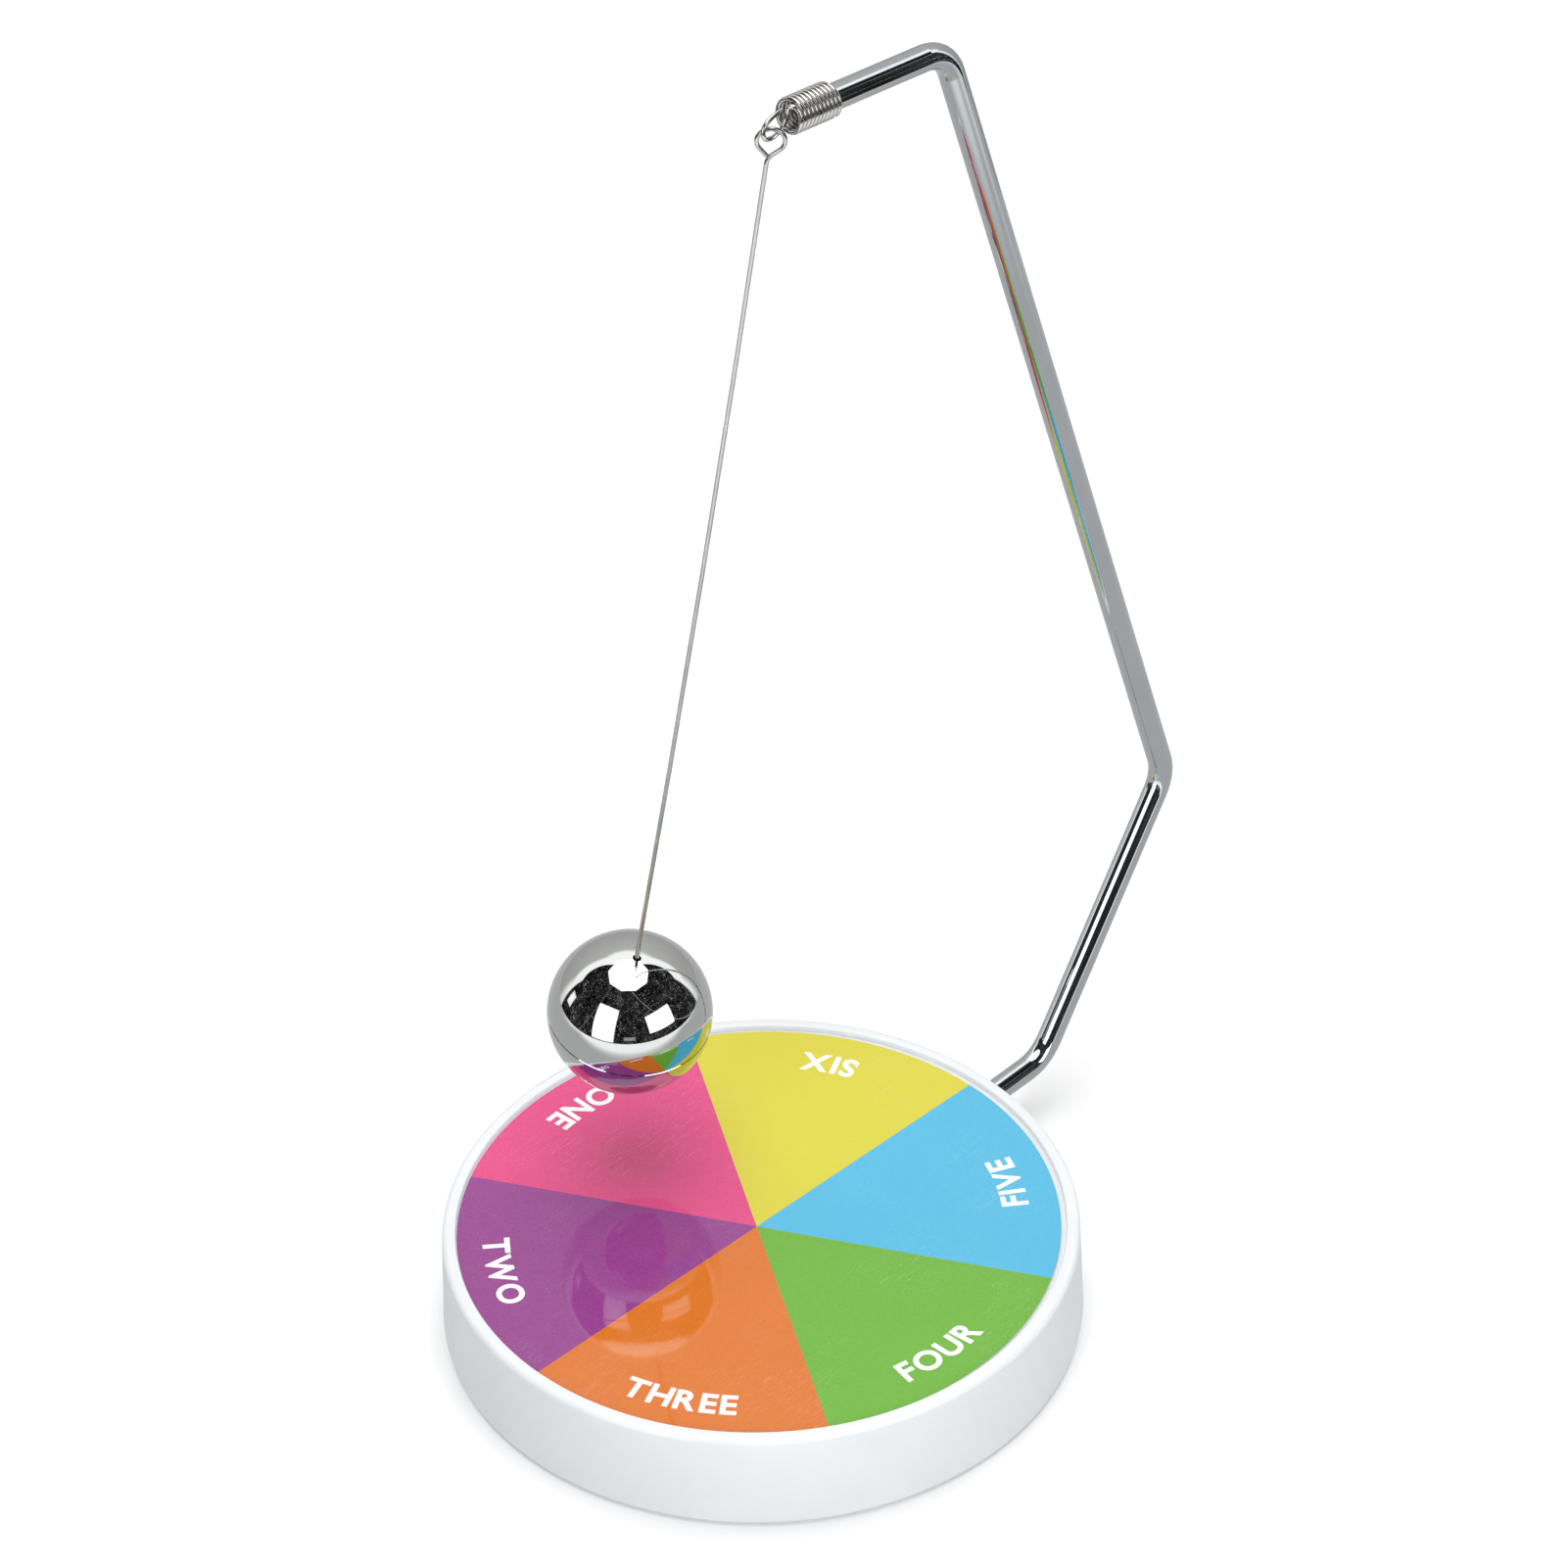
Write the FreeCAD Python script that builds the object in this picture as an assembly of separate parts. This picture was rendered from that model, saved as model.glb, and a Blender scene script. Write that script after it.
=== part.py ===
import FreeCAD, Part
import math
import os
from FreeCAD import Vector as V

os.makedirs("parts", exist_ok=True)

# ---------------------------------------------------------------------------
# Driving dimensions (mm).  +Z is up, the origin is on the floor at the centre
# of the round base, and the bent arm lies in the XZ plane on the +X side.
# ---------------------------------------------------------------------------

# base
BASE_R_TOP = 50.0
BASE_R_BOTTOM = 50.6
BASE_TOP_Z = 17.1
WALL_BOTTOM_Z = 0.4
RECESS_R = 47.9
RECESS_FLOOR_Z = 16.2
DECK_UNDER_Z = 14.25
WALL_IN_TOP_R = 47.7
WALL_IN_BOTTOM_R = 48.3
RIM_FILLET = 1.0
FOOT_FILLET = 0.6

# dial label
LABEL_R = 47.35
LABEL_T = 0.35
LABEL_DX = -0.5

# non-slip pad, bottom cover, ballast
PAD_R = 47.0
PAD_T = 1.0
COVER_R = 48.0
COVER_T = 2.4
BALLAST_R = 39.0
BALLAST_T = 2.0

# magnets and keeper
MAGNET_R = 5.0
MAGNET_T = 3.0
MAGNET_PCR = 30.0
MAGNET_ANGLE0 = 86.6
KEEPER_R = 36.5
KEEPER_T = 0.7
STAKE_PCR = 22.0
STAKE_R = 1.5
STAKE_HEAD_R = 2.6
STAKE_HEAD_T = 0.8

# screws
SCREW_SHANK_R = 1.23
SCREW_PILOT_R = 1.25
SCREW_HEAD_R = 2.3
COVER_SCREW_PCR = 43.2
COVER_BOSS_R = 3.2

# support rod, bent in the XZ plane: (x, z) of the corner points
ROD_R = 2.0
ROD_Z = 8.46
ROD_P1 = (66.68, 8.46)
ROD_P2 = (96.6, 50.46)
ROD_P3 = (44.17, 209.07)
ROD_TIP_SLOPE = 0.1143
ROD_TIP_X = 14.6
ROD_BEND_R = 7.0
ROD_INNER_X = 28.0
ROD_INNER_Y = -14.0
ROD_INNER_BEND_R = 6.0

# hook spring
COIL_WIRE_R = 0.36
COIL_MEAN_R = 2.40
COIL_PITCH = 0.785
COIL_REAR_X = 19.75
COIL_FRONT_X = 11.80

# pendulum wire and ball
WIRE_R = 0.35
EYE_ORIGIN = (8.35, -0.02, 212.44)
BALL_R = 13.0
BALL_C = (0.11, 27.40, 44.40)
BALL_POLE = (-0.0473, -0.2119, 0.9761)
BALL_WALL = 1.5
BALL_HOLE_R = 0.62
WIRE_BOW = 0.45
KINK_ABOVE = 3.0
BEAD_R = 1.5
BEAD_SEAT_R = 1.55


# ---------------------------------------------------------------------------
# Helpers
# ---------------------------------------------------------------------------

def revolve(points):
    """Solid of revolution about Z from (r, z) points and arcs.

    An entry is (r, z), or ('arc', (rm, zm), (r, z)) for an arc to (r, z).
    """
    edges = []
    last = None
    first = None
    for p in points:
        if p[0] == 'arc':
            mid = V(p[1][0], 0, p[1][1])
            end = V(p[2][0], 0, p[2][1])
            edges.append(Part.Arc(last, mid, end).toShape())
        else:
            end = V(p[0], 0, p[1])
            if last is not None:
                edges.append(Part.makeLine(last, end))
        if first is None:
            first = end
        last = end
    if (last - first).Length > 1e-7:
        edges.append(Part.makeLine(last, first))
    face = Part.Face(Part.Wire(edges))
    return face.revolve(V(0, 0, 0), V(0, 0, 1), 360)


def cyl(r, z0, z1, x=0.0, y=0.0):
    return Part.makeCylinder(r, z1 - z0, V(x, y, z0))


def box(x0, y0, z0, x1, y1, z1):
    return Part.makeBox(x1 - x0, y1 - y0, z1 - z0, V(x0, y0, z0))


def polar(r, deg):
    a = math.radians(deg)
    return r * math.cos(a), r * math.sin(a)


def fillet_circles(shape, picks, radius):
    """Fillet the full circular edges named by (radius, z) pairs."""
    edges = []
    for e in shape.Edges:
        c = e.Curve
        if not isinstance(c, Part.Circle):
            continue
        for r, z in picks:
            if abs(c.Radius - r) < 0.02 and abs(c.Center.z - z) < 0.02:
                edges.append(e)
    return shape.makeFillet(radius, edges)


def rounded_edges(points, radii):
    """Edges through 3-D corner points with a tangent arc at each corner."""
    pts = [V(*p) for p in points]
    edges = []
    start = pts[0]
    for i in range(1, len(pts) - 1):
        a, b, c = pts[i - 1], pts[i], pts[i + 1]
        u = (a - b).normalize()
        w = (c - b).normalize()
        half = u.getAngle(w) / 2.0
        t = radii[i - 1] / math.tan(half)
        t1 = b + u * t
        t2 = b + w * t
        bis = (u + w).normalize()
        centre = b + bis * (radii[i - 1] / math.sin(half))
        mid = centre - bis * radii[i - 1]
        edges.append(Part.makeLine(start, t1))
        edges.append(Part.Arc(t1, mid, t2).toShape())
        start = t2
    edges.append(Part.makeLine(start, pts[-1]))
    return edges


def rounded_path(points, radii):
    return Part.Wire(rounded_edges(points, radii))


def round_bar(path, r):
    """Round bar swept along a tangent-continuous path."""
    e0 = path.Edges[0]
    p0 = e0.valueAt(e0.FirstParameter)
    t0 = e0.tangentAt(e0.FirstParameter)
    if (p0 - path.OrderedVertexes[0].Point).Length > 1e-6:
        p0 = e0.valueAt(e0.LastParameter)
        t0 = e0.tangentAt(e0.LastParameter)
    ring = Part.Wire([Part.makeCircle(r, p0, t0)])
    bar = path.makePipeShell([ring], True, False)
    if bar.Volume < 0:
        bar.reverse()
    return bar


def spline_bar(points, r, pieces):
    """Round wire swept along a smooth curve through the given points.

    The curve is divided into short edges, so the swept skin is many small faces.
    """
    curve = Part.BSplineCurve()
    curve.interpolate([V(*p) for p in points])
    a, b = curve.FirstParameter, curve.LastParameter
    knots = [a + (b - a) * i / pieces for i in range(pieces + 1)]
    edges = [curve.toShape(knots[i], knots[i + 1]) for i in range(pieces)]
    e0 = edges[0]
    ring = Part.Wire([Part.makeCircle(r, e0.valueAt(e0.FirstParameter),
                                      e0.tangentAt(e0.FirstParameter))])
    bar = Part.Wire(edges).makePipeShell([ring], True, True)
    if bar.Volume < 0:
        bar.reverse()
    return bar


def save(name, shape):
    if shape.ShapeType == "Compound" and len(shape.Solids) == 1:
        shape = shape.Solids[0]
    assert shape.isValid(), name
    assert shape.Volume > 0, name
    shape.exportStep("parts/%s.step" % name)


# ---------------------------------------------------------------------------
# Support rod: one bent round bar, with a turned-in inner end under the deck
# ---------------------------------------------------------------------------

tip_z = ROD_P3[1] + (ROD_P3[0] - ROD_TIP_X) * ROD_TIP_SLOPE
rod_points = [
    (ROD_INNER_X, ROD_INNER_Y, ROD_Z),
    (ROD_INNER_X, 0.0, ROD_Z),
    (ROD_P1[0], 0.0, ROD_P1[1]),
    (ROD_P2[0], 0.0, ROD_P2[1]),
    (ROD_P3[0], 0.0, ROD_P3[1]),
    (ROD_TIP_X, 0.0, tip_z),
]
rod_radii = [ROD_INNER_BEND_R, ROD_BEND_R, ROD_BEND_R, ROD_BEND_R]
rod_path = rounded_path(rod_points, rod_radii)
support_rod = round_bar(rod_path, ROD_R)

# the same bar a little fatter, for cutting the grooves it lies in
groove_path = rounded_path(
    [(ROD_INNER_X, ROD_INNER_Y - 1.0, ROD_Z), (ROD_INNER_X, 0.0, ROD_Z),
     (ROD_P1[0] - 8.0, 0.0, ROD_Z)],
    [ROD_INNER_BEND_R])
rod_groove = round_bar(groove_path, ROD_R + 0.03)

# ---------------------------------------------------------------------------
# Base shell: moulded drum, open below, with a recessed top for the label
# ---------------------------------------------------------------------------

base_shell = revolve([
    (0, DECK_UNDER_Z),
    (WALL_IN_TOP_R, DECK_UNDER_Z),
    (WALL_IN_BOTTOM_R, WALL_BOTTOM_Z),
    (BASE_R_BOTTOM, WALL_BOTTOM_Z),
    (BASE_R_TOP, BASE_TOP_Z),
    (RECESS_R, BASE_TOP_Z),
    (RECESS_R, RECESS_FLOOR_Z),
    (0, RECESS_FLOOR_Z),
])
base_shell = fillet_circles(base_shell, [(BASE_R_TOP, BASE_TOP_Z)], RIM_FILLET)
base_shell = fillet_circles(base_shell, [(BASE_R_BOTTOM, WALL_BOTTOM_Z)], FOOT_FILLET)
base_shell = fillet_circles(base_shell, [(RECESS_R, BASE_TOP_Z)], 0.25)

cover_top_z = PAD_T + COVER_T
magnet_z0 = DECK_UNDER_Z - MAGNET_T
keeper_z0 = magnet_z0 - KEEPER_T

magnet_xy = [polar(MAGNET_PCR, MAGNET_ANGLE0 + 60 * k) for k in range(6)]
adds = []
for x, y in magnet_xy + [(0.0, 0.0)]:
    well = cyl(MAGNET_R + 1.3, magnet_z0 + 0.15, DECK_UNDER_Z + 0.2, x, y)
    well = well.cut(cyl(MAGNET_R + 0.1, magnet_z0, DECK_UNDER_Z, x, y))
    adds.append(well)
stake_xy = [polar(STAKE_PCR, MAGNET_ANGLE0 - 30 + 120 * k) for k in range(3)]
for x, y in stake_xy:
    adds.append(cyl(STAKE_R, keeper_z0 - 0.2, DECK_UNDER_Z + 0.2, x, y))
    adds.append(cyl(STAKE_HEAD_R, keeper_z0 - STAKE_HEAD_T, keeper_z0, x, y))
screw_xy = [polar(COVER_SCREW_PCR, 45 + 90 * k) for k in range(4)]
for x, y in screw_xy:
    adds.append(cyl(COVER_BOSS_R, cover_top_z + 0.05, DECK_UNDER_Z + 0.2, x, y))
adds.append(box(39, -10, ROD_Z, 45, 10, DECK_UNDER_Z + 0.2))
base_shell = base_shell.fuse(adds).removeSplitter()

cuts = [rod_groove]
notch = box(46, -ROD_R - 0.1, 0, 52, ROD_R + 0.1, ROD_Z).fuse(
    Part.makeCylinder(ROD_R + 0.1, 6, V(46, 0, ROD_Z), V(1, 0, 0)))
cuts.append(notch.removeSplitter())
for x, y in screw_xy:
    cuts.append(cyl(SCREW_PILOT_R, cover_top_z, cover_top_z + 7.0, x, y))
clamp_screw_xy = [(42.0, 7.0), (42.0, -7.0)]
for x, y in clamp_screw_xy:
    cuts.append(cyl(SCREW_PILOT_R, ROD_Z - 0.1, 13.0, x, y))
for c in cuts:
    base_shell = base_shell.cut(c)
base_shell = base_shell.removeSplitter()

# ---------------------------------------------------------------------------
# Printed dial label in the top recess
# ---------------------------------------------------------------------------

dial_label = cyl(LABEL_R, RECESS_FLOOR_Z, RECESS_FLOOR_Z + LABEL_T, LABEL_DX, 0)

# ---------------------------------------------------------------------------
# Bottom cover, with a tongue that closes the rod's slot in the wall
# ---------------------------------------------------------------------------

bottom_cover = cyl(COVER_R, PAD_T, cover_top_z)
tongue = box(46.5, -ROD_R, PAD_T, 51, ROD_R, ROD_Z - ROD_R - 0.1)
tongue = tongue.common(cyl(BASE_R_TOP + 0.3, 0, 20))
bottom_cover = bottom_cover.fuse(tongue).removeSplitter()
for x, y in screw_xy:
    bottom_cover = bottom_cover.cut(cyl(2.5, PAD_T - 0.1, PAD_T + 1.5, x, y))
    bottom_cover = bottom_cover.cut(cyl(1.35, PAD_T, cover_top_z + 0.1, x, y))

nonslip_pad = cyl(PAD_R, 0, PAD_T)
nonslip_pad = fillet_circles(nonslip_pad, [(PAD_R, 0)], 0.2)

ballast_plate = cyl(BALLAST_R, cover_top_z, cover_top_z + BALLAST_T)

cover_screws = []
for x, y in screw_xy:
    s = cyl(SCREW_HEAD_R, PAD_T + 0.05, PAD_T + 1.5, x, y).fuse(
        cyl(SCREW_SHANK_R, PAD_T + 1.5, cover_top_z + 6.2, x, y)).removeSplitter()
    s = s.cut(box(x - 1.6, y - 0.3, PAD_T, x + 1.6, y + 0.3, PAD_T + 0.6))
    s = s.cut(box(x - 0.3, y - 1.6, PAD_T, x + 0.3, y + 1.6, PAD_T + 0.6))
    cover_screws.append(s)
cover_screws = Part.makeCompound(cover_screws)

# ---------------------------------------------------------------------------
# Rod clamp: a block below the rod, screwed up to the saddle in the shell
# ---------------------------------------------------------------------------

clamp_z0 = cover_top_z + BALLAST_T + 0.1
clamp_z1 = ROD_Z - 0.06
rod_clamp = box(22, -17, clamp_z0, 34, 5, clamp_z1).fuse(
    box(34, -10, clamp_z0, 45, 10, clamp_z1)).removeSplitter()
rod_clamp = rod_clamp.cut(rod_groove)
clamp_screws = []
for x, y in clamp_screw_xy:
    rod_clamp = rod_clamp.cut(cyl(2.5, clamp_z0 - 0.1, clamp_z0 + 1.6, x, y))
    rod_clamp = rod_clamp.cut(cyl(1.35, clamp_z0, clamp_z1 + 0.1, x, y))
    s = cyl(SCREW_HEAD_R, clamp_z0 + 0.05, clamp_z0 + 1.6, x, y).fuse(
        cyl(SCREW_SHANK_R, clamp_z0 + 1.6, 12.5, x, y)).removeSplitter()
    s = s.cut(box(x - 1.6, y - 0.3, clamp_z0, x + 1.6, y + 0.3, clamp_z0 + 0.6))
    s = s.cut(box(x - 0.3, y - 1.6, clamp_z0, x + 0.3, y + 1.6, clamp_z0 + 0.6))
    clamp_screws.append(s)
clamp_screws = Part.makeCompound(clamp_screws)

# ---------------------------------------------------------------------------
# Magnets under the deck and the steel keeper plate that holds them
# ---------------------------------------------------------------------------

magnets = [cyl(MAGNET_R, magnet_z0, DECK_UNDER_Z, x, y) for x, y in magnet_xy]
centre_magnet = cyl(MAGNET_R, magnet_z0, DECK_UNDER_Z)

magnet_keeper = cyl(KEEPER_R, keeper_z0, magnet_z0)
for x, y in stake_xy:
    magnet_keeper = magnet_keeper.cut(cyl(STAKE_R + 0.1, keeper_z0 - 0.1, magnet_z0 + 0.1, x, y))

# ---------------------------------------------------------------------------
# Hook spring: close-wound coil pushed over the rod's tip, ending in a loop
# ---------------------------------------------------------------------------

tip_len = math.hypot(1.0, ROD_TIP_SLOPE)
axis_a = V(-1.0 / tip_len, 0, ROD_TIP_SLOPE / tip_len)      # towards the tip
axis_u = V(ROD_TIP_SLOPE / tip_len, 0, 1.0 / tip_len)       # up, across the tip
axis_v = V(0, 1, 0)


def on_axis(x):
    return V(x, 0, ROD_P3[1] + (ROD_P3[0] - x) * ROD_TIP_SLOPE)


rear = on_axis(COIL_REAR_X)
coil_len = (on_axis(COIL_FRONT_X) - rear).Length
turns = coil_len / COIL_PITCH
theta_end = -62.0                                            # degrees from the top
theta_start = theta_end - 360.0 * turns
spring_pts = []
steps = int(turns * 16)
for i in range(steps + 1):
    th = math.radians(theta_start + (theta_end - theta_start) * i / steps)
    s = coil_len * i / steps
    p = rear + axis_a * s + axis_u * (COIL_MEAN_R * math.cos(th)) + axis_v * (COIL_MEAN_R * math.sin(th))
    spring_pts.append((p.x, p.y, p.z))

# loop: climbs out of the last turn, drops across the mouth and comes back up
LOOP = [
    (11.80, -1.72, 214.55), (11.50, -1.15, 214.92), (11.24, -0.66, 214.76),
    (11.13, -0.44, 214.24), (11.04, -0.40, 213.40), (10.75, -0.36, 212.51),
    (10.29, -0.30, 211.88), (9.62, -0.22, 211.40), (8.83, -0.12, 211.03),
    (8.05, 0.00, 210.88), (7.36, 0.08, 211.05), (6.96, 0.15, 211.58),
    (6.90, 0.22, 212.26), (7.20, 0.28, 212.92), (7.92, 0.33, 213.46),
    (8.90, 0.38, 213.78), (9.95, 0.41, 213.94), (11.05, 0.43, 213.98),
]
spring_pts += LOOP
hook_spring = spline_bar(spring_pts, COIL_WIRE_R, 48)

# ---------------------------------------------------------------------------
# Pendulum wire: a stiff straight wire with a teardrop eye at its top
# ---------------------------------------------------------------------------

eye_o = V(*EYE_ORIGIN)
ball_c = V(*BALL_C)
pole = V(*BALL_POLE).normalize()
kink = ball_c + pole * (BALL_R + KINK_ABOVE)
down = V(-0.0456, 0.163, -0.9856).normalize()
side = V(0.693, -0.721, 0.0)
side = (side - down * side.dot(down)).normalize()

# eye in its own plane: (across, down) from EYE_ORIGIN
EYE_C = (0.20, 2.10)
EYE_R = 2.00
EYE_END = (-0.08, 4.65)
SHANK_E = 0.05


def eye_pt(e, d):
    return eye_o + side * e + down * d


q = EYE_R * math.sqrt(0.5)
eye_left = eye_pt(EYE_C[0] - q, EYE_C[1] + q)
eye_top = eye_pt(EYE_C[0], EYE_C[1] - EYE_R)
eye_right = eye_pt(EYE_C[0] + q, EYE_C[1] + q)
neck = eye_pt(SHANK_E, EYE_C[1] + q + (EYE_C[0] + q - SHANK_E))
run = kink - neck
bow_dir = (side - run * (side.dot(run) / run.dot(run))).normalize()
shank = [eye_right, neck]
for t in (0.25, 0.5, 0.75):
    shank.append(neck + run * t + bow_dir * (WIRE_BOW * 4 * t * (1 - t)))
shank += [kink, ball_c + pole * 5.6]
wire_edges = [Part.makeLine(eye_pt(*EYE_END), eye_left),
              Part.Arc(eye_left, eye_top, eye_right).toShape()]
wire_edges += rounded_edges([(p.x, p.y, p.z) for p in shank],
                            [2.2, 300.0, 300.0, 300.0, 6.0])
pendulum_wire = round_bar(Part.Wire(wire_edges), WIRE_R)

# ---------------------------------------------------------------------------
# Ball: two half shells on the bead at the wire's end, a magnet in the lower
# ---------------------------------------------------------------------------


def arc_rz(radius, z):
    return math.sqrt(max(radius * radius - z * z, 0.0))


ri = BALL_R - BALL_WALL
m45 = math.sqrt(0.5)
g = 0.12                                                     # seam groove
ball_upper = revolve([
    (BALL_HOLE_R, arc_rz(BALL_R, BALL_HOLE_R)),
    ('arc', (BALL_R * m45, BALL_R * m45), (arc_rz(BALL_R, g), g)),
    (BALL_R - g, 0),
    (12.25, 0),
    (12.25, 1.6),
    (arc_rz(ri, 1.6), 1.6),
    ('arc', (ri * m45, ri * m45), (3.5, arc_rz(ri, 3.5))),
    (3.5, 5.0),
    (BEAD_SEAT_R, 5.0),
    (BEAD_SEAT_R, 8.0),
    (BALL_HOLE_R, 8.0),
])
ball_upper = fillet_circles(
    ball_upper, [(BALL_HOLE_R, arc_rz(BALL_R, BALL_HOLE_R))], 0.10)
ball_lower = revolve([
    (0, -BALL_R),
    ('arc', (BALL_R * m45, -BALL_R * m45), (arc_rz(BALL_R, g), -g)),
    (BALL_R - g, 0),
    (12.2, 0),
    (12.2, 1.5),
    (arc_rz(ri, 1.5), 1.5),
    ('arc', (11.49, -0.48), (arc_rz(ri, 8.886), -8.886)),
    (7.3, -5.8),
    (6.05, -5.8),
    (6.05, -9.6),
    (0, -9.6),
])
ball_magnet = cyl(6.0, -9.6, -5.6)
stop_bead = cyl(BEAD_R, 5.6, 7.95).cut(cyl(WIRE_R, 5.0, 8.5))

turn = FreeCAD.Rotation(V(0, 0, 1), pole)
place = FreeCAD.Placement(ball_c, turn)
ball_parts = {}
for name, shape in (("ball_upper_shell", ball_upper), ("ball_lower_shell", ball_lower),
                    ("ball_magnet", ball_magnet), ("stop_bead", stop_bead)):
    ball_parts[name] = shape.copy()
    ball_parts[name].Placement = place

# ---------------------------------------------------------------------------
# One file per node
# ---------------------------------------------------------------------------

save("base_shell", base_shell)
save("dial_label", dial_label)
save("bottom_cover", bottom_cover)
save("nonslip_pad", nonslip_pad)
save("ballast_plate", ballast_plate)
save("cover_screws", cover_screws)
save("rod_clamp", rod_clamp)
save("clamp_screws", clamp_screws)
save("support_rod", support_rod)
for k, m in enumerate(magnets):
    save("sector_magnet_%d" % (k + 1), m)
save("centre_magnet", centre_magnet)
save("magnet_keeper", magnet_keeper)
save("hook_spring", hook_spring)
save("pendulum_wire", pendulum_wire)
for name, shape in ball_parts.items():
    save(name, shape)
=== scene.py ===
import math

import bpy
from mathutils import Matrix, Vector


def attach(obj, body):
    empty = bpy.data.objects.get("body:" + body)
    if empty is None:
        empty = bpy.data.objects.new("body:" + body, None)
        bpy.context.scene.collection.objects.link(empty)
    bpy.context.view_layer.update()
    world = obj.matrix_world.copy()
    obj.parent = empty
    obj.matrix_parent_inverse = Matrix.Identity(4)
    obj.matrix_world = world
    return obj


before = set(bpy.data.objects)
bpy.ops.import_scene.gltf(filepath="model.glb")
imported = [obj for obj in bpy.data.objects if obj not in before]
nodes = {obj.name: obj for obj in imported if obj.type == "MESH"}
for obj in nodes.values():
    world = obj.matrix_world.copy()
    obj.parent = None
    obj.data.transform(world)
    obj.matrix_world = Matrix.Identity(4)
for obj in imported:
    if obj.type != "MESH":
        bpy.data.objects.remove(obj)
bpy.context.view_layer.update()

MM = 0.001

# Dial graphic, in the row frame
DIAL_CENTRE = (-1.0 * MM, 0.0)
DIAL_TOP_Z = 16.55 * MM
FIRST_EDGE = 56.59
SECTORS = [                      # anticlockwise from FIRST_EDGE: name, colour, word
    ("pink", (0.740, 0.052, 0.222), "ONE"),
    ("purple", (0.282, 0.034, 0.245), "TWO"),
    ("orange", (0.690, 0.164, 0.003), "THREE"),
    ("green", (0.138, 0.420, 0.022), "FOUR"),
    ("blue", (0.070, 0.464, 0.710), "FIVE"),
    ("yellow", (0.675, 0.610, 0.028), "SIX"),
]
CAP_HEIGHT = 4.3 * MM
BASELINE_R = 43.0 * MM

# Camera in the row frame
CAM_AT = Vector((-0.517917841501457, -0.5050525067923619, 0.6556125196706767))
CAM_RIGHT = Vector((0.6818827, -0.7311984, -0.0196171))
CAM_UP = Vector((0.4546643, 0.4026858, 0.7944334))
CAM_BACK = Vector((-0.5729889, -0.5506296, 0.6070343))
CAM_LENS = 141.03363643118362


# ---------------------------------------------------------------------------
# Node helpers
# ---------------------------------------------------------------------------

def put(tree, socket, value):
    if value is None:
        return
    if isinstance(value, bpy.types.NodeSocket):
        tree.links.new(value, socket)
    else:
        socket.default_value = value


def calc(tree, op, a, b=None, c=None, clamp=False):
    n = tree.nodes.new("ShaderNodeMath")
    n.operation = op
    n.use_clamp = clamp
    for i, v in enumerate((a, b, c)):
        put(tree, n.inputs[i], v)
    return n.outputs[0]


def vec(tree, op, a, b=None):
    n = tree.nodes.new("ShaderNodeVectorMath")
    n.operation = op
    put(tree, n.inputs[0], a)
    if b is not None:
        put(tree, n.inputs[1], b)
    return n.outputs["Value" if op in ("DOT_PRODUCT", "LENGTH") else "Vector"]


def span(tree, value, lo, hi, to_lo, to_hi, smooth=False):
    n = tree.nodes.new("ShaderNodeMapRange")
    n.interpolation_type = "SMOOTHSTEP" if smooth else "LINEAR"
    n.clamp = True
    put(tree, n.inputs["Value"], value)
    n.inputs["From Min"].default_value = lo
    n.inputs["From Max"].default_value = hi
    n.inputs["To Min"].default_value = to_lo
    n.inputs["To Max"].default_value = to_hi
    return n.outputs["Result"]


def mix(tree, factor, a, b, blend="MIX"):
    n = tree.nodes.new("ShaderNodeMix")
    n.data_type = "RGBA"
    n.blend_type = blend
    put(tree, n.inputs[0], factor)
    put(tree, n.inputs[6], rgba(a))
    put(tree, n.inputs[7], rgba(b))
    return n.outputs[2]


def rgba(c):
    return (*c, 1.0) if isinstance(c, tuple) and len(c) == 3 else c


def coords(tree, stretch=(1, 1, 1), turn=(0, 0, 0)):
    at = tree.nodes.new("ShaderNodeTexCoord").outputs["Object"]
    if stretch == (1, 1, 1) and turn == (0, 0, 0):
        return at
    m = tree.nodes.new("ShaderNodeMapping")
    m.vector_type = "POINT"
    m.inputs["Rotation"].default_value = turn
    m.inputs["Scale"].default_value = stretch
    tree.links.new(at, m.inputs["Vector"])
    return m.outputs["Vector"]


def noise(tree, at, scale, detail=3.0, rough=0.55, distort=0.0):
    n = tree.nodes.new("ShaderNodeTexNoise")
    tree.links.new(at, n.inputs["Vector"])
    n.inputs["Scale"].default_value = scale
    n.inputs["Detail"].default_value = detail
    n.inputs["Roughness"].default_value = rough
    n.inputs["Distortion"].default_value = distort
    return n.outputs["Fac"]


def bump(tree, height, strength, distance, under=None):
    n = tree.nodes.new("ShaderNodeBump")
    n.inputs["Strength"].default_value = strength
    n.inputs["Distance"].default_value = distance
    tree.links.new(height, n.inputs["Height"])
    if under is not None:
        tree.links.new(under, n.inputs["Normal"])
    return n.outputs["Normal"]


def start(name, **values):
    m = bpy.data.materials.new(name)
    m.use_nodes = True
    t = m.node_tree
    p = t.nodes["Principled BSDF"]
    for k, v in values.items():
        p.inputs[k.replace("_", " ")].default_value = rgba(v) if isinstance(v, tuple) else v
    return m, t, p


def scratches(tree, scale, turn, stretch=22.0, width=0.02):
    """Fine straight hairlines: 1 on a line, 0 elsewhere."""
    at = coords(tree, (1.0, stretch, 1.0), turn)
    n = noise(tree, at, scale, 1.0, 0.4, 0.15)
    d = calc(tree, "ABSOLUTE", calc(tree, "SUBTRACT", n, 0.5))
    line = span(tree, d, 0.0, width, 1.0, 0.0)
    where = span(tree, noise(tree, coords(tree), scale * 0.35, 2.0), 0.50, 0.62, 0.0, 1.0)
    return calc(tree, "MULTIPLY", line, where)


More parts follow.
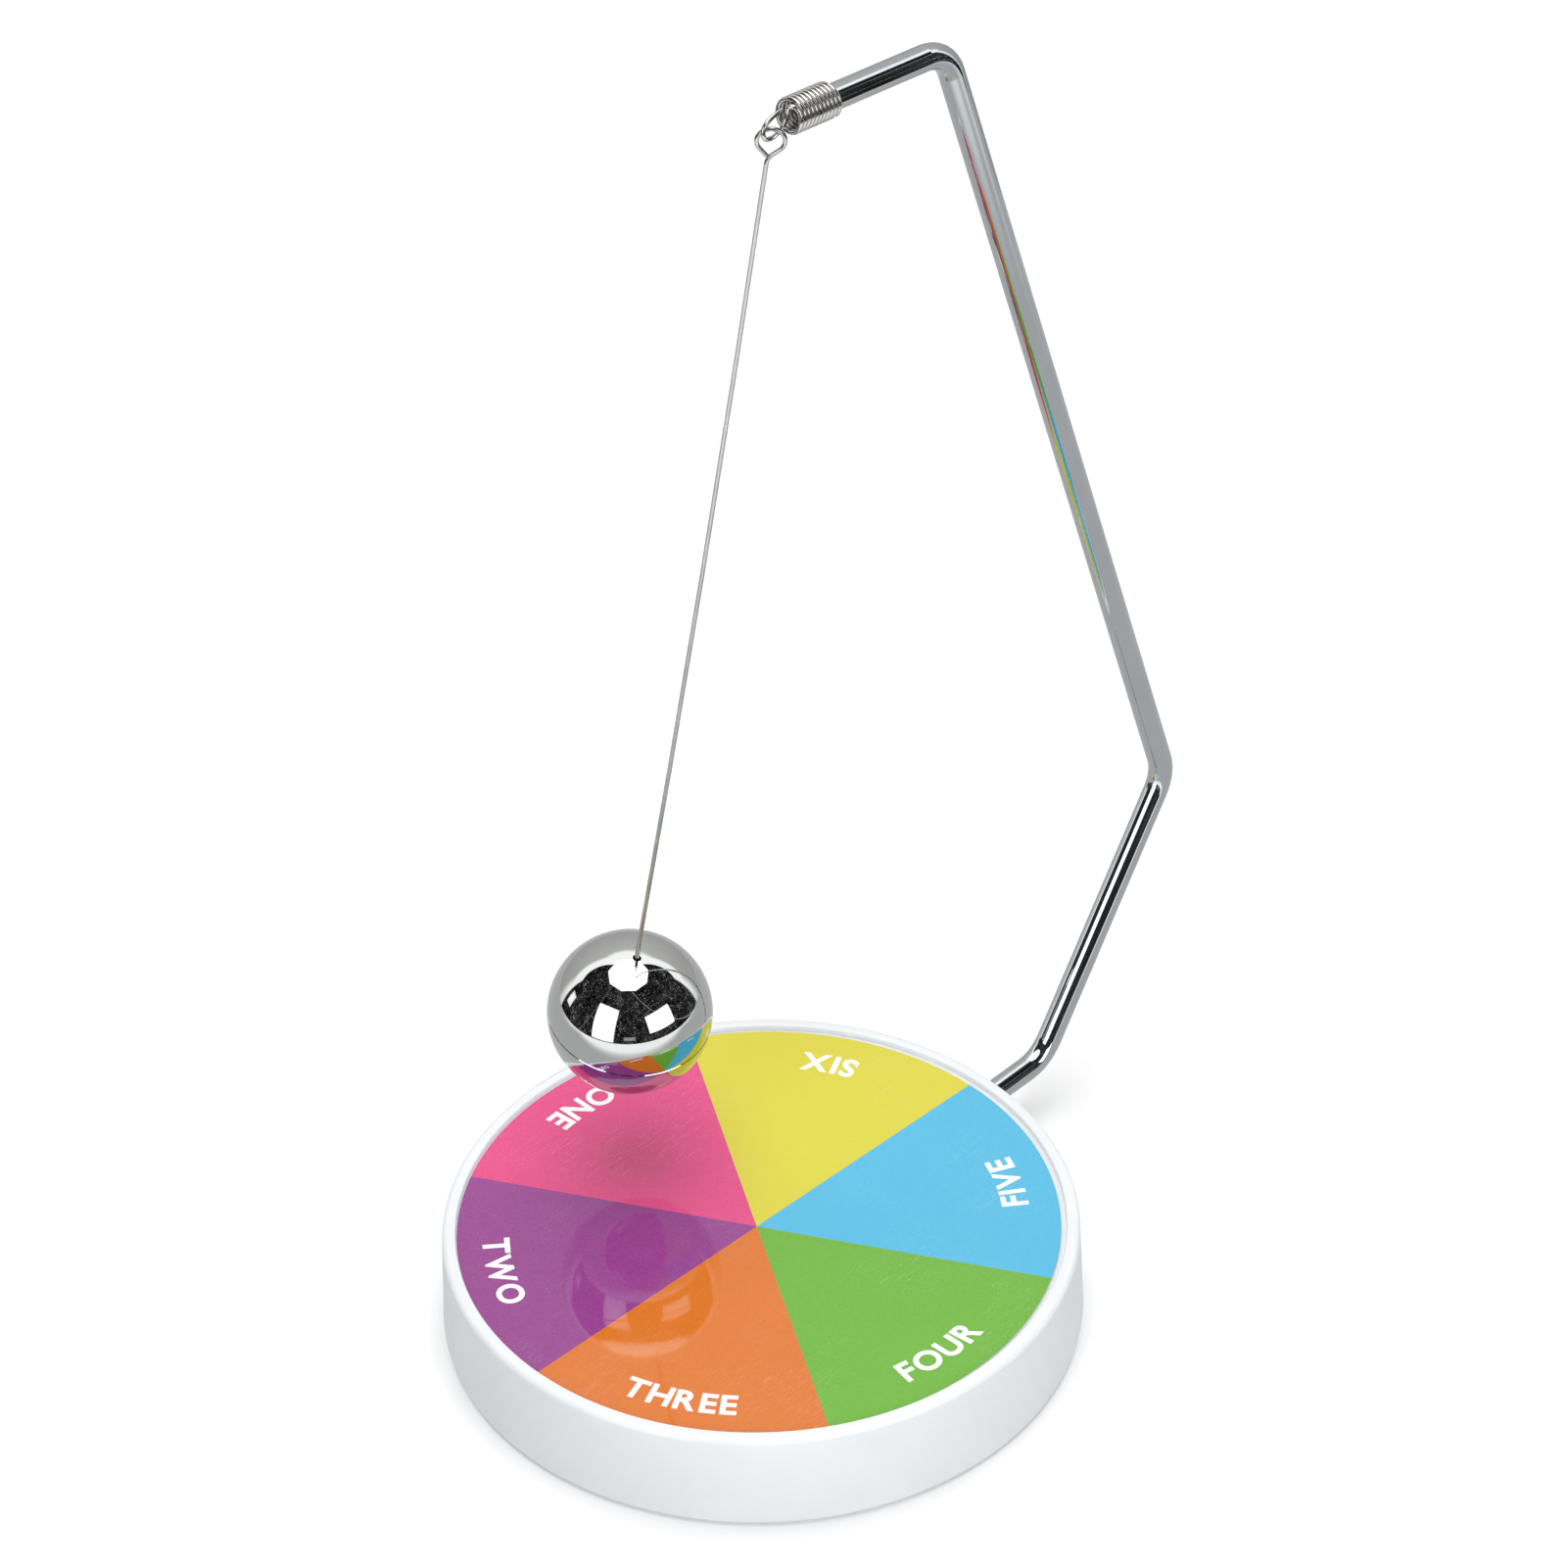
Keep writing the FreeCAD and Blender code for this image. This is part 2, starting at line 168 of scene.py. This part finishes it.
# ---------------------------------------------------------------------------
# Materials
# ---------------------------------------------------------------------------

def plastic(name, colour, dark, rough, grain, depth, mottle=60.0, sss=0.0):
    """Moulded plastic: fine spark texture, faint flow mottling, slight handling wear."""
    m, t, p = start(name, Metallic=0.0, IOR=1.49)
    at = coords(t)
    flow = noise(t, at, mottle, 4.0, 0.6, 0.4)
    speck = noise(t, at, 2600.0, 2.0)
    c = mix(t, span(t, flow, 0.32, 0.70, 0.0, 1.0), dark, colour)
    c = mix(t, span(t, speck, 0.62, 0.78, 0.0, 0.22), c, dark)
    t.links.new(c, p.inputs["Base Color"])
    wear = noise(t, at, 180.0, 5.0, 0.65)
    r = span(t, wear, 0.3, 0.7, rough * 0.86, rough * 1.14)
    r = calc(t, "ADD", r, calc(t, "MULTIPLY", scratches(t, 900.0, (0, 0, 0.7)), 0.06))
    t.links.new(r, p.inputs["Roughness"])
    n = bump(t, noise(t, at, grain, 3.0, 0.6), 0.35, depth)
    n = bump(t, flow, 0.25, depth * 4.0, n)
    t.links.new(n, p.inputs["Normal"])
    if sss:
        p.inputs["Subsurface Weight"].default_value = sss
        p.inputs["Subsurface Radius"].default_value = (1.0, 0.9, 0.8)
        p.inputs["Subsurface Scale"].default_value = 0.0012
    return m


def metal(name, colour, dark, rough_lo, rough_hi, stretch=(1, 1, 1), turn=(0, 0, 0),
          grain=1500.0, depth=2e-6, smudge=55.0, line=0.0):
    """Worked or plated metal: drawn or ground grain, smudges, hairlines."""
    m, t, p = start(name, Metallic=1.0, IOR=2.4)
    at = coords(t)
    worked = coords(t, stretch, turn)
    cloud = noise(t, at, smudge, 5.0, 0.6, 0.6)
    grit = noise(t, worked, grain, 3.0, 0.55)
    c = mix(t, span(t, cloud, 0.30, 0.72, 0.0, 1.0), dark, colour)
    t.links.new(c, p.inputs["Base Color"])
    r = span(t, calc(t, "ADD", calc(t, "MULTIPLY", cloud, 0.6), calc(t, "MULTIPLY", grit, 0.4)),
             0.34, 0.66, rough_lo, rough_hi)
    if line:
        r = calc(t, "ADD", r, calc(t, "MULTIPLY", scratches(t, 420.0, (0.4, 0.2, 0.9)), line))
    t.links.new(r, p.inputs["Roughness"])
    t.links.new(bump(t, grit, 0.30, depth), p.inputs["Normal"])
    return m


def chrome(name, colour, dark, waviness=3e-6):
    """Bright plating: very low roughness, a faint ripple in the plating, smudges and hairlines."""
    m, t, p = start(name, Metallic=1.0)
    at = coords(t)
    cloud = noise(t, at, 42.0, 5.0, 0.62, 0.9)
    t.links.new(mix(t, span(t, cloud, 0.30, 0.72, 0.0, 1.0), dark, colour), p.inputs["Base Color"])
    smear = span(t, cloud, 0.46, 0.70, 0.022, 0.060, True)
    hair = scratches(t, 260.0, (0.3, 0.5, 0.2), 30.0, 0.012)
    t.links.new(calc(t, "ADD", smear, calc(t, "MULTIPLY", hair, 0.10)), p.inputs["Roughness"])
    n = bump(t, noise(t, at, 130.0, 2.0, 0.45), 0.22, waviness * 6.0)
    n = bump(t, hair, 0.12, 1.5e-6, n)
    t.links.new(n, p.inputs["Normal"])
    return m


def dial(name):
    """Printed paper disc under a clear gloss film: six coloured sectors round one point."""
    m, t, p = start(name, Metallic=0.0, IOR=1.45, Coat_Weight=1.0, Coat_IOR=1.58, Specular_IOR_Level=0.05)
    at = coords(t)
    sep = t.nodes.new("ShaderNodeSeparateXYZ")
    t.links.new(at, sep.inputs[0])
    x = calc(t, "SUBTRACT", sep.outputs["X"], DIAL_CENTRE[0])
    y = calc(t, "SUBTRACT", sep.outputs["Y"], DIAL_CENTRE[1])
    turns = calc(t, "DIVIDE", calc(t, "ARCTAN2", y, x), 2 * math.pi)
    f = calc(t, "FRACT", calc(t, "SUBTRACT", calc(t, "ADD", turns, 2.0), FIRST_EDGE / 360.0))
    ramp = t.nodes.new("ShaderNodeValToRGB")
    ramp.color_ramp.interpolation = "CONSTANT"
    els = ramp.color_ramp.elements
    els.remove(els[1])
    els[0].position = 0.0
    els[0].color = rgba(SECTORS[0][1])
    for i, (_, colour, _) in enumerate(SECTORS[1:], 1):
        e = els.new(i / 6.0)
        e.color = rgba(colour)
    t.links.new(f, ramp.inputs["Fac"])
    ink = ramp.outputs["Color"]
    # ink density: slow drift over the sheet and a fine printed grain
    drift = noise(t, at, 38.0, 3.0)
    grain = noise(t, at, 4200.0, 2.0, 0.7)
    ink = mix(t, span(t, drift, 0.3, 0.7, 0.0, 0.07), ink, (0.80, 0.80, 0.80), "MULTIPLY")
    ink = mix(t, span(t, grain, 0.35, 0.75, 0.0, 0.05), ink, (0.92, 0.92, 0.90))
    hair = scratches(t, 150.0, (0, 0, 0.45), 26.0, 0.010)
    ink = mix(t, calc(t, "MULTIPLY", hair, 0.20), ink, (0.95, 0.95, 0.95))
    # cut edge of the sheet is white paper
    edge = calc(t, "LESS_THAN", sep.outputs["Z"], DIAL_TOP_Z - 0.02 * MM)
    ink = mix(t, edge, ink, (0.86, 0.86, 0.84))
    t.links.new(ink, p.inputs["Base Color"])
    t.links.new(span(t, noise(t, at, 900.0, 3.0), 0.3, 0.7, 0.42, 0.58), p.inputs["Roughness"])
    smear = span(t, noise(t, at, 55.0, 4.0, 0.6, 0.5), 0.40, 0.72, 0.032, 0.075)
    t.links.new(calc(t, "ADD", smear, calc(t, "MULTIPLY", hair, 0.22)), p.inputs["Coat Roughness"])
    n = bump(t, noise(t, at, 190.0, 2.0, 0.4), 0.30, 9e-6)
    n = bump(t, hair, 0.20, 2e-6, n)
    t.links.new(n, p.inputs["Coat Normal"])
    return m


def ink_white(name):
    m, t, p = start(name, Metallic=0.0, IOR=1.45, Coat_Weight=1.0, Coat_IOR=1.58, Specular_IOR_Level=0.05)
    at = coords(t)
    c = mix(t, span(t, noise(t, at, 3800.0, 2.0, 0.7), 0.4, 0.75, 0.0, 0.16), (0.93, 0.93, 0.93), (0.74, 0.75, 0.76))
    t.links.new(c, p.inputs["Base Color"])
    t.links.new(span(t, noise(t, at, 900.0), 0.3, 0.7, 0.40, 0.55), p.inputs["Roughness"])
    t.links.new(span(t, noise(t, at, 55.0, 4.0, 0.6, 0.5), 0.40, 0.72, 0.032, 0.075), p.inputs["Coat Roughness"])
    t.links.new(bump(t, noise(t, at, 190.0, 2.0, 0.4), 0.30, 9e-6), p.inputs["Coat Normal"])
    return m


def rubber(name):
    """Matt foam rubber with fine open pores; the colour is painted darker inside them as shade."""
    m, t, p = start(name, Metallic=0.0, IOR=1.5)
    at = coords(t)
    cell = t.nodes.new("ShaderNodeTexVoronoi")
    t.links.new(at, cell.inputs["Vector"])
    cell.inputs["Scale"].default_value = 2200.0
    pore_pits_and_shade = span(t, cell.outputs["Distance"], 0.05, 0.40, 0.0, 1.0)
    # painted shade: the colour falls to near black in the pore pits that the bump sinks
    c = mix(t, pore_pits_and_shade, (0.010, 0.010, 0.011), (0.034, 0.034, 0.036))
    c = mix(t, span(t, noise(t, at, 80.0, 4.0), 0.45, 0.75, 0.0, 0.5), c, (0.060, 0.058, 0.056))
    t.links.new(c, p.inputs["Base Color"])
    t.links.new(span(t, noise(t, at, 300.0, 4.0), 0.3, 0.7, 0.72, 0.92), p.inputs["Roughness"])
    t.links.new(bump(t, pore_pits_and_shade, 0.6, 6e-5), p.inputs["Normal"])
    return m


def ferrite(name):
    """Sintered ceramic magnet: dull charcoal with grinding lines and tiny pits, painted near black inside as shade."""
    m, t, p = start(name, Metallic=0.15, IOR=2.2)
    at = coords(t)
    pit_depth_and_shade = span(t, noise(t, at, 2400.0, 3.0, 0.7), 0.60, 0.72, 0.0, 1.0)
    ground = noise(t, coords(t, (1.0, 14.0, 1.0)), 800.0, 3.0)
    c = mix(t, span(t, noise(t, at, 120.0, 4.0), 0.3, 0.7, 0.0, 1.0), (0.034, 0.034, 0.037), (0.075, 0.075, 0.078))
    # painted shade: the pits that the bump sinks are painted near black
    c = mix(t, pit_depth_and_shade, c, (0.012, 0.012, 0.013))
    t.links.new(c, p.inputs["Base Color"])
    t.links.new(span(t, ground, 0.3, 0.7, 0.38, 0.62), p.inputs["Roughness"])
    n = bump(t, ground, 0.4, 8e-6)
    t.links.new(bump(t, pit_depth_and_shade, 0.5, -2e-5, n), p.inputs["Normal"])
    return m


mats = {
    "white": plastic("satin_white_abs", (0.815, 0.838, 0.858), (0.778, 0.803, 0.826), 0.33, 1700.0, 1.2e-5, 60.0, 0.25),
    "cover": plastic("moulded_white_cover", (0.80, 0.80, 0.79), (0.72, 0.72, 0.71), 0.46, 1200.0, 2.2e-5, 45.0, 0.2),
    "clamp": plastic("grey_nylon_clamp", (0.30, 0.31, 0.32), (0.22, 0.23, 0.24), 0.50, 1000.0, 2.5e-5, 130.0),
    "dial": dial("gloss_dial_print"),
    "ink": ink_white("white_dial_ink"),
    "pad": rubber("foam_rubber_pad"),
    "ballast": metal("sheared_mild_steel", (0.42, 0.41, 0.40), (0.30, 0.285, 0.27), 0.30, 0.55, (1, 18, 1), (0, 0, 0.3), 700.0, 8e-6, 70.0, 0.1),
    "screw": metal("zinc_plated_screw", (0.66, 0.67, 0.70), (0.52, 0.53, 0.57), 0.22, 0.42, (1, 1, 1), (0, 0, 0), 1800.0, 4e-6, 320.0, 0.05),
    "keeper": metal("keeper_steel", (0.47, 0.47, 0.48), (0.35, 0.35, 0.36), 0.28, 0.48, (12, 1, 1), (0, 0, 0.8), 900.0, 6e-6, 110.0, 0.08),
    "ferrite": ferrite("ferrite_ceramic"),
    "rod": chrome("chrome_plated_rod", (0.575, 0.602, 0.618), (0.530, 0.555, 0.570), 5e-6),
    "ball": chrome("chrome_plated_ball", (0.600, 0.612, 0.598), (0.560, 0.570, 0.556), 1.2e-6),
    "spring": metal("bright_nickel_spring", (0.60, 0.59, 0.57), (0.49, 0.48, 0.46), 0.17, 0.27, (1, 1, 1), (0, 0, 0), 2600.0, 1e-6, 520.0, 0.03),
    "wire": metal("drawn_steel_wire", (0.56, 0.555, 0.55), (0.44, 0.435, 0.43), 0.16, 0.30, (30, 30, 1), (0, 0, 0), 500.0, 3e-6, 160.0, 0.03),
    "brass": metal("turned_brass_bead", (0.73, 0.55, 0.27), (0.58, 0.42, 0.20), 0.18, 0.34, (1, 1, 20), (0, 0, 0), 900.0, 3e-6, 400.0, 0.04),
}

FINISH = {
    "base_shell": "white", "bottom_cover": "cover", "dial_label": "dial", "nonslip_pad": "pad",
    "ballast_plate": "ballast", "cover_screws": "screw", "clamp_screws": "screw", "rod_clamp": "clamp",
    "support_rod": "rod", "centre_magnet": "ferrite", "magnet_keeper": "keeper", "hook_spring": "spring",
    "pendulum_wire": "wire", "stop_bead": "brass", "ball_upper_shell": "ball", "ball_lower_shell": "ball",
    "ball_magnet": "ferrite",
}
for i in range(1, 7):
    FINISH["sector_magnet_%d" % i] = "ferrite"

for name, finish in FINISH.items():
    ob = nodes[name]
    ob.data.materials.clear()
    ob.data.materials.append(mats[finish])


# ---------------------------------------------------------------------------
# Lettering: one thin printed piece per word, on the rim side of its sector
# ---------------------------------------------------------------------------

def glyph(ch):
    """Flat outline of one bold capital as (vertices, faces)."""
    cu = bpy.data.curves.new("glyph", "FONT")
    cu.body = ch
    cu.size = 1.0
    cu.resolution_u = 6
    cu.fill_mode = "BOTH"
    cu.extrude = 0.01
    cu.offset = 0.030
    ob = bpy.data.objects.new("glyph", cu)
    bpy.context.scene.collection.objects.link(ob)
    bpy.context.view_layer.update()
    me = bpy.data.meshes.new_from_object(ob.evaluated_get(bpy.context.evaluated_depsgraph_get()))
    bpy.data.objects.remove(ob)
    verts = [v.co.copy() for v in me.vertices]
    faces = [tuple(p.vertices) for p in me.polygons]
    bpy.data.meshes.remove(me)
    return verts, faces


def cap_span():
    v, _ = glyph("E")
    return min(p.y for p in v), max(p.y for p in v)


cap_lo, cap_hi = cap_span()
scale = CAP_HEIGHT / (cap_hi - cap_lo)
CONDENSE = 0.98
GAP = 0.50 * MM

for i, (colour_name, _, word) in enumerate(SECTORS):
    mid = math.radians(FIRST_EDGE + 30.0 + 60.0 * i)
    outlines = []
    for ch in word:
        v, f = glyph(ch)
        x0 = min(p.x for p in v)
        x1 = max(p.x for p in v)
        outlines.append((v, f, x0, (x1 - x0) * scale * CONDENSE))
    total = sum(o[3] for o in outlines) + GAP * (len(outlines) - 1)
    s = -total / 2
    read_r = BASELINE_R - CAP_HEIGHT / 2
    verts, faces = [], []
    for v, f, x0, w in outlines:
        ang = mid + (s + w / 2) / read_r
        along = Vector((-math.sin(ang), math.cos(ang), 0))
        inward = Vector((-math.cos(ang), -math.sin(ang), 0))
        foot = Vector((DIAL_CENTRE[0], DIAL_CENTRE[1], 0)) - inward * BASELINE_R
        first = len(verts)
        for p in v:
            x = (p.x - x0) * scale * CONDENSE - w / 2
            y = (p.y - cap_lo) * scale
            z = DIAL_TOP_Z + (0.02 * MM if p.z > 0 else -0.01 * MM)
            q = foot + along * x + inward * y
            verts.append((q.x, q.y, z))
        faces += [tuple(first + k for k in face) for face in f]
        s += w + GAP
    me = bpy.data.meshes.new("word_" + colour_name)
    me.from_pydata(verts, [], faces)
    me.validate()
    me.update()
    me.materials.append(mats["ink"])
    ob = bpy.data.objects.new("word_" + colour_name, me)
    bpy.context.scene.collection.objects.link(ob)
    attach(ob, "base")


# ---------------------------------------------------------------------------
# Studio: dark room in front, overhead octagonal softbox, two side softboxes,
# pale backdrop behind, white table
# ---------------------------------------------------------------------------

def studio():
    w = bpy.data.worlds.new("studio")
    bpy.context.scene.world = w
    w.use_nodes = True
    t = w.node_tree
    t.nodes.clear()
    out = t.nodes.new("ShaderNodeOutputWorld")
    d = vec(t, "NORMALIZE", t.nodes.new("ShaderNodeTexCoord").outputs["Generated"])
    cam_az = math.atan2(CAM_BACK.y, CAM_BACK.x)

    def towards(turn, up):
        a, e = cam_az + math.radians(turn), math.radians(up)
        return Vector((math.cos(a) * math.cos(e), math.sin(a) * math.cos(e), math.sin(e)))

    def panel(c, half_w, half_h, soft, octagon=False, roll=0.0):
        """Flat panel seen round direction c, 0 outside; inside it is brightest at its centre and dimmer towards its
        edge.
        """
        r = Vector((0, 0, 1)).cross(c)
        r = r.normalized() if r.length > 1e-3 else Vector((math.sin(roll), -math.cos(roll), 0))
        u = c.cross(r)
        front = calc(t, "MAXIMUM", vec(t, "DOT_PRODUCT", d, tuple(c)), 0.001)
        x = calc(t, "DIVIDE", calc(t, "ABSOLUTE", calc(t, "DIVIDE", vec(t, "DOT_PRODUCT", d, tuple(r)), front)), math.tan(math.radians(half_w)))
        y = calc(t, "DIVIDE", calc(t, "ABSOLUTE", calc(t, "DIVIDE", vec(t, "DOT_PRODUCT", d, tuple(u)), front)), math.tan(math.radians(half_h)))
        far = calc(t, "MAXIMUM", x, y)
        if octagon:
            far = calc(t, "MAXIMUM", far, calc(t, "MULTIPLY", calc(t, "ADD", x, y), math.sqrt(0.5)))
        inside = span(t, far, 1.0 - soft, 1.0, 1.0, 0.0, True)
        glow = span(t, far, 0.0, 1.0, 1.30, 0.86)
        return calc(t, "MULTIPLY", inside, glow)

    sep = t.nodes.new("ShaderNodeSeparateXYZ")
    t.links.new(d, sep.inputs[0])
    up = calc(t, "MULTIPLY", calc(t, "ARCSINE", sep.outputs["Z"]), 180 / math.pi)
    flat = math.hypot(CAM_BACK.x, CAM_BACK.y)
    facing = (CAM_BACK.x / flat, CAM_BACK.y / flat, 0.0)
    level = calc(t, "SQRT", calc(t, "MAXIMUM", calc(t, "SUBTRACT", 1.0, calc(t, "MULTIPLY", sep.outputs["Z"], sep.outputs["Z"])), 1e-6))
    turn = calc(t, "MULTIPLY", calc(t, "ARCCOSINE", calc(t, "MAXIMUM", calc(t, "MINIMUM", calc(t, "DIVIDE", vec(t, "DOT_PRODUCT", d, facing), level), 1.0), -1.0)), 180 / math.pi)

    # backdrop: wraps behind and arches overhead; its leading edge, nearest the
    # lamps, is brightest and it falls to grey deeper in
    top_edge = span(t, turn, 104.0, 150.0, 30.0, 68.0, True)
    under = span(t, calc(t, "SUBTRACT", top_edge, up), 0.0, 2.0, 0.0, 1.0, True)
    behind = span(t, turn, 108.0, 111.0, 0.0, 1.0, True)
    lead = calc(t, "MAXIMUM",
                span(t, calc(t, "SUBTRACT", top_edge, up), 17.0, 26.0, 1.0, 0.0, True),
                span(t, turn, 112.0, 124.0, 1.0, 0.0, True))
    lead = calc(t, "MULTIPLY", lead, span(t, up, -25.0, 10.0, 0.35, 1.0))
    shade = calc(t, "ADD", span(t, up, -20.0, 44.0, BACKDROP_LOW, BACKDROP_HIGH),
                 calc(t, "MULTIPLY", lead, BACKDROP_EDGE))
    drop = calc(t, "MULTIPLY", calc(t, "MULTIPLY", under, behind), shade)

    # room: near black, with dim equipment, pale specks and a few thin cables
    murk = noise(t, d, 3.2, 4.0, 0.6, 0.8)
    room = span(t, murk, 0.42, 0.75, 0.006, 0.055)
    speck = noise(t, d, 34.0, 3.0, 0.75, 0.3)
    room = calc(t, "ADD", room, span(t, speck, 0.57, 0.72, 0.0, 0.95))
    room = calc(t, "MULTIPLY", room, span(t, noise(t, d, 5.5, 2.0), 0.40, 0.60, 0.35, 1.25))
    for axis, level_at, wide, power in ROOM_LINES:
        a = Vector(axis).normalized()
        off = calc(t, "ABSOLUTE", calc(t, "SUBTRACT", vec(t, "DOT_PRODUCT", d, tuple(a)), level_at))
        room = calc(t, "ADD", room, span(t, off, 0.0, wide, power, 0.0, True))

    lamps = [
        (panel(towards(180.0, 87.5), 24.5, 24.5, 0.05, True), TOP_LIGHT),
        (panel(towards(-36.0, 18.0), 16.0, 24.0, 0.06), LEFT_LIGHT),
        (panel(towards(46.0, 17.5), 19.5, 13.0, 0.06), RIGHT_LIGHT),
        (panel(towards(-99.0, 11.0), 5.0, 7.5, 0.12), 1.3),
        (panel(towards(0.0, 1.0), 9.0, 3.0, 0.3), 0.35),
    ]
    total = calc(t, "MAXIMUM", room, drop)
    for mask, power in lamps:
        total = calc(t, "ADD", total, calc(t, "MULTIPLY", mask, power))

    light = t.nodes.new("ShaderNodeBackground")
    light.inputs["Color"].default_value = (1.0, 1.0, 1.0, 1.0)
    t.links.new(total, light.inputs["Strength"])
    seen = t.nodes.new("ShaderNodeBackground")
    seen.inputs["Color"].default_value = (1.0, 1.0, 1.0, 1.0)
    seen.inputs["Strength"].default_value = BACKGROUND
    choose = t.nodes.new("ShaderNodeMixShader")
    t.links.new(t.nodes.new("ShaderNodeLightPath").outputs["Is Camera Ray"], choose.inputs[0])
    t.links.new(light.outputs[0], choose.inputs[1])
    t.links.new(seen.outputs[0], choose.inputs[2])
    t.links.new(choose.outputs[0], out.inputs["Surface"])


TOP_LIGHT = 3.05
LEFT_LIGHT = 2.25
RIGHT_LIGHT = 2.45
# painted light: glow strengths of the table as the chrome and the walls see it, round the object and at its front edge
TABLE_NEAR_PAINTED_GLOW = 0.60
TABLE_FRONT_PAINTED_LIGHT = 1.45
BACKDROP_LOW = 0.42
BACKDROP_HIGH = 0.72
BACKDROP_EDGE = 0.85
BACKGROUND = 1.0
ROOM_LINES = [                   # thin pale arcs: axis, offset along it, half width, strength
    ((0.62, -0.35, 0.70), 0.62, 0.006, 0.8),
    ((-0.20, 0.80, 0.35), 0.55, 0.005, 0.5),
]
studio()


def fill(turn, up, width, height, power, away=1.5):
    """Large soft fill from the front for the walls; it lights matt surfaces only."""
    a = math.atan2(CAM_BACK.y, CAM_BACK.x) + math.radians(turn)
    e = math.radians(up)
    d = Vector((math.cos(a) * math.cos(e), math.sin(a) * math.cos(e), math.sin(e)))
    la = bpy.data.lights.new("fill", "AREA")
    la.shape = "RECTANGLE"
    la.size, la.size_y = width, height
    la.energy = power
    ob = bpy.data.objects.new("fill", la)
    bpy.context.scene.collection.objects.link(ob)
    ob.location = Vector((0, 0, 0.03)) + d * away
    ob.rotation_mode = "QUATERNION"
    ob.rotation_quaternion = d.to_track_quat("Z", "Y")
    ob.visible_glossy = False
    ob.visible_camera = False


fill(22.0, 14.0, 1.5, 0.8, 4.2)
fill(-36.0, 26.0, 0.9, 1.0, 2.4)
fill(52.0, 24.0, 1.0, 0.8, 3.2)
fill(175.0, 30.0, 1.5, 0.8, 2.8)


def table():
    """White sweep: a round sheet, finely subdivided only at its rim."""
    ring, verts, faces = 96, [(0.0, 0.0, 0.0)], []
    radii = [0.12, 0.26, 0.42]
    for r in radii:
        verts += [(r * math.cos(2 * math.pi * k / ring), r * math.sin(2 * math.pi * k / ring), 0.0) for k in range(ring)]
    for k in range(ring):
        n = (k + 1) % ring
        faces.append((0, 1 + k, 1 + n))
        for j in range(len(radii) - 1):
            a = 1 + j * ring
            faces.append((a + k, a + ring + k, a + ring + n, a + n))
    me = bpy.data.meshes.new("table")
    me.from_pydata(verts, [], faces)
    me.update()
    ob = bpy.data.objects.new("table", me)
    bpy.context.scene.collection.objects.link(ob)
    ob.location.z = -0.00002
    m, t, p = start("white_sweep_painted_glow", Metallic=0.0, IOR=1.4, Specular_IOR_Level=0.2)
    at = coords(t)
    t.links.new(mix(t, span(t, noise(t, at, 700.0, 3.0), 0.3, 0.7, 0.0, 1.0), (0.955, 0.955, 0.957), (0.965, 0.965, 0.965)), p.inputs["Base Color"])
    t.links.new(span(t, noise(t, at, 400.0, 3.0), 0.3, 0.7, 0.60, 0.75), p.inputs["Roughness"])
    t.links.new(bump(t, noise(t, at, 1200.0, 3.0), 0.15, 1e-5), p.inputs["Normal"])
    # painted light: the chrome and the walls see the table as a glowing sheet, not a lit one:
    # mid grey round the object, painted bright towards its front edge and outer front ring as if lamp-lit
    sep = t.nodes.new("ShaderNodeSeparateXYZ")
    t.links.new(at, sep.inputs[0])
    flat = math.hypot(CAM_BACK.x, CAM_BACK.y)
    ahead = calc(t, "ADD", calc(t, "MULTIPLY", sep.outputs["X"], CAM_BACK.x / flat),
                 calc(t, "MULTIPLY", sep.outputs["Y"], CAM_BACK.y / flat))
    glow = t.nodes.new("ShaderNodeEmission")
    glow.inputs["Color"].default_value = (0.985, 0.995, 1.0, 1.0)
    reach = vec(t, "LENGTH", at)
    rim = calc(t, "MULTIPLY", span(t, reach, 0.24, 0.36, 0.0, 0.6, True), span(t, ahead, -0.12, 0.05, 0.0, 1.0, True))
    t.links.new(calc(t, "MAXIMUM", span(t, ahead, 0.055, 0.150, TABLE_NEAR_PAINTED_GLOW, TABLE_FRONT_PAINTED_LIGHT, True),
                     calc(t, "ADD", rim, TABLE_NEAR_PAINTED_GLOW)), glow.inputs["Strength"])
    choose = t.nodes.new("ShaderNodeMixShader")
    t.links.new(t.nodes.new("ShaderNodeLightPath").outputs["Is Camera Ray"], choose.inputs[0])
    t.links.new(glow.outputs[0], choose.inputs[1])
    t.links.new(p.outputs[0], choose.inputs[2])
    t.links.new(choose.outputs[0], t.nodes["Material Output"].inputs["Surface"])
    me.materials.append(m)


table()

# ---------------------------------------------------------------------------
# Camera
# ---------------------------------------------------------------------------

cam_data = bpy.data.cameras.new("camera")
cam_data.sensor_fit = "HORIZONTAL"
cam_data.sensor_width = 36.0
cam_data.lens = CAM_LENS
cam_data.clip_start = 0.05
cam_data.clip_end = 20.0
cam = bpy.data.objects.new("camera", cam_data)
bpy.context.scene.collection.objects.link(cam)
cam.matrix_world = Matrix((
    (CAM_RIGHT.x, CAM_UP.x, CAM_BACK.x, CAM_AT.x),
    (CAM_RIGHT.y, CAM_UP.y, CAM_BACK.y, CAM_AT.y),
    (CAM_RIGHT.z, CAM_UP.z, CAM_BACK.z, CAM_AT.z),
    (0.0, 0.0, 0.0, 1.0),
))
bpy.context.scene.camera = cam
bpy.context.scene.view_settings.view_transform = "Standard"
